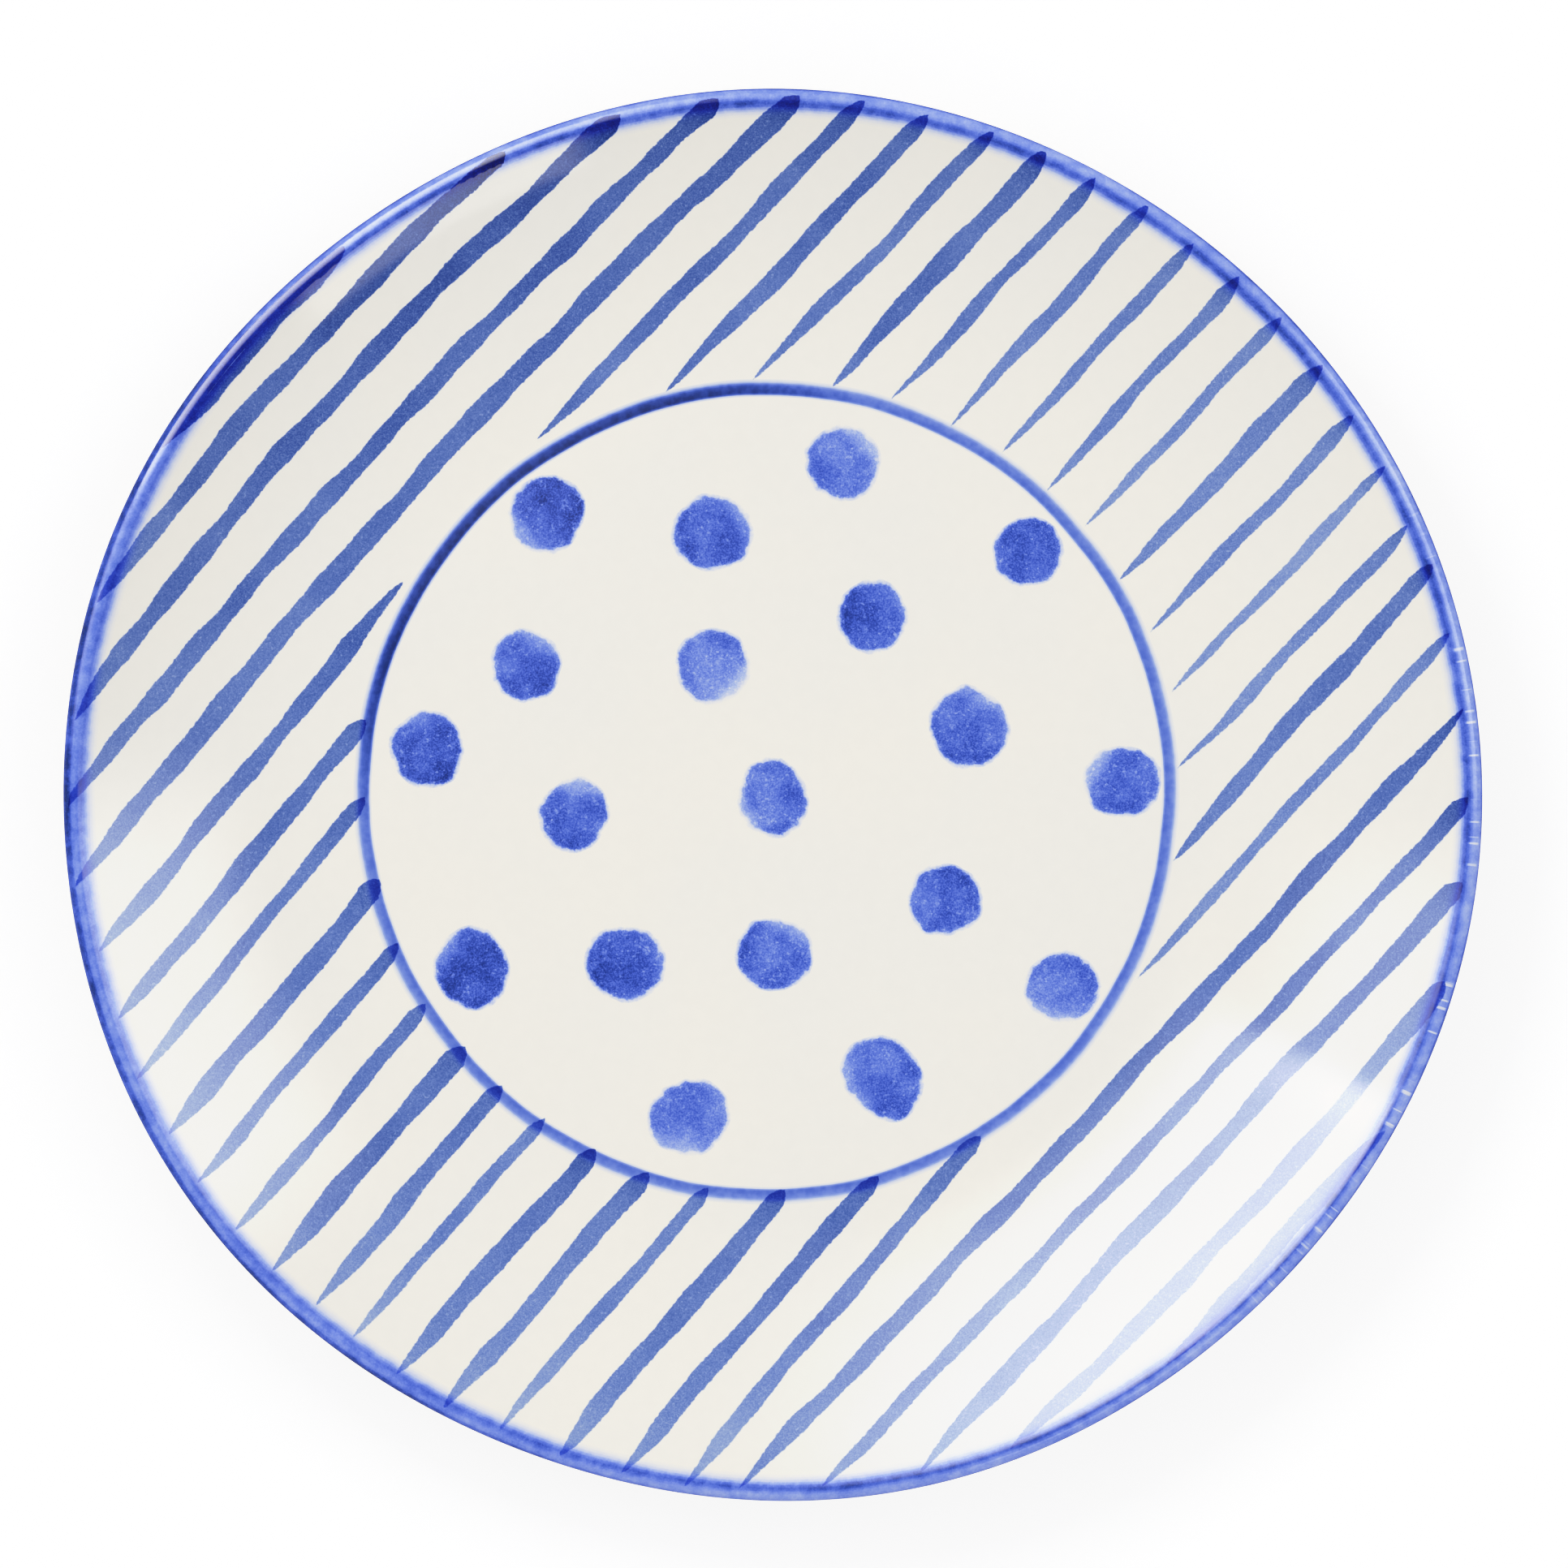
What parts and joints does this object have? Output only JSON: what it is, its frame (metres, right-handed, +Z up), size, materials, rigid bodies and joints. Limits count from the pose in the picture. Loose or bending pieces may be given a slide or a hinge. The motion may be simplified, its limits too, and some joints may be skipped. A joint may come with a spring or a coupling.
{
  "type": "ceramic dinner plate",
  "caption": "Round coupe dinner plate on a low foot ring, hand painted in cobalt blue with slanting strokes on the rim and dabbed dots inside a ring.",
  "frame": {"origin": "middle of the foot ring's underside, on the surface the plate stands on", "axes": "+Z up out of the face, square to the foot's plane; +Y is the top of the painted pattern as it was laid out, so the strokes run 47 degrees from +X"},
  "size_m": [0.271, 0.2698, 0.0222],
  "materials": {
    "bare_clay": "matt unglazed biscuit, dry to the touch",
    "cream_glaze": "glossy cream glaze with faint mottling",
    "cobalt_band": "brushed cobalt under gloss, streaky, pooled darker along its edge",
    "cobalt_ring": "brushed cobalt under gloss, soft edged",
    "cobalt_dots": "dabbed cobalt under gloss, sponged and mottled",
    "cobalt_strokes": "brushed cobalt under gloss, granular, paler where the brush ran dry"
  },
  "bodies": {
    "root": {"clay_body": "bare_clay", "glaze_coat": "cream_glaze", "recess_glaze": "cream_glaze", "lip_band": "cobalt_band", "centre_ring": "cobalt_ring", "dot_01": "cobalt_dots", "dot_02": "cobalt_dots", "dot_03": "cobalt_dots", "dot_04": "cobalt_dots", "dot_05": "cobalt_dots", "dot_06": "cobalt_dots", "dot_07": "cobalt_dots", "dot_08": "cobalt_dots", "dot_09": "cobalt_dots", "dot_10": "cobalt_dots", "dot_11": "cobalt_dots", "dot_12": "cobalt_dots", "dot_13": "cobalt_dots", "dot_14": "cobalt_dots", "dot_15": "cobalt_dots", "dot_16": "cobalt_dots", "dot_17": "cobalt_dots", "dot_18": "cobalt_dots", "dot_19": "cobalt_dots", "stroke_row_01": "cobalt_strokes", "stroke_row_02": "cobalt_strokes", "stroke_row_03": "cobalt_strokes", "stroke_row_04": "cobalt_strokes", "stroke_row_05": "cobalt_strokes", "stroke_row_06": "cobalt_strokes", "stroke_row_07": "cobalt_strokes", "stroke_row_08": "cobalt_strokes", "stroke_row_09": "cobalt_strokes", "stroke_row_10": "cobalt_strokes", "stroke_row_11": "cobalt_strokes", "stroke_row_12": "cobalt_strokes", "stroke_row_13": "cobalt_strokes", "stroke_row_14": "cobalt_strokes", "stroke_row_15": "cobalt_strokes", "stroke_row_16": "cobalt_strokes", "stroke_row_17": "cobalt_strokes", "stroke_row_18": "cobalt_strokes", "stroke_row_19": "cobalt_strokes", "stroke_row_20": "cobalt_strokes", "stroke_row_21": "cobalt_strokes", "stroke_row_22": "cobalt_strokes", "stroke_row_23": "cobalt_strokes", "edge_stroke_low": "cobalt_strokes", "edge_stroke_high": "cobalt_strokes"}
  },
  "joints": []
}
